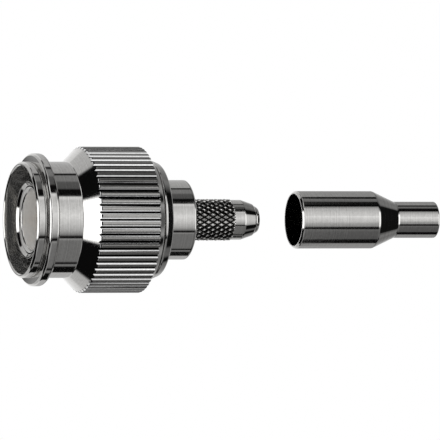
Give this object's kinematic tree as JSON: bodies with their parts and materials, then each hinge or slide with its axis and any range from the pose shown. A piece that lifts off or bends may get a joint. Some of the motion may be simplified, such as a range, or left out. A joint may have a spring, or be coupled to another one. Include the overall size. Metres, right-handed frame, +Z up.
{
  "type": "tnc connector",
  "caption": "Threaded coaxial cable plug: knurled coupling nut turning on the body, diamond-knurled crimp stem, and a loose stepped crimp ferrule lying behind it.",
  "frame": {"origin": "centre of the coupling nut's front rim, on the plug's axis, where the mating socket enters", "axes": "+X along the plug's axis, from the mating end to the cable end; +Z up; the plug is turned about +X"},
  "size_m": [0.0455, 0.015, 0.015],
  "materials": {
    "nickel_plate": "bright nickel plate over turned brass, neutral grey",
    "spring_bronze": "plain spring bronze",
    "gold_plate": "gold plate over turned brass",
    "ptfe": "turned white ptfe",
    "silicone_rubber": "moulded red silicone rubber"
  },
  "bodies": {
    "plug": {"plug_body": "nickel_plate", "outer_contact": "nickel_plate", "snap_ring": "spring_bronze", "gasket": "silicone_rubber", "front_insulator": "ptfe", "rear_insulator": "ptfe", "centre_contact": "gold_plate", "crimp_stem": "nickel_plate"},
    "nut": {"coupling_nut": "nickel_plate"},
    "ferrule": {"crimp_ferrule": "nickel_plate"}
  },
  "joints": [
    {"name": "nut_spin", "type": "hinge", "parent": "plug", "child": "nut", "pos_m": [0.0068, 0, 0], "axis": [1, 0, 0], "continuous": true},
    {"name": "ferrule_slide", "type": "slide", "parent": "plug", "child": "ferrule", "axis": [-1, 0, 0], "range_m": [0, 0.01194]}
  ]
}
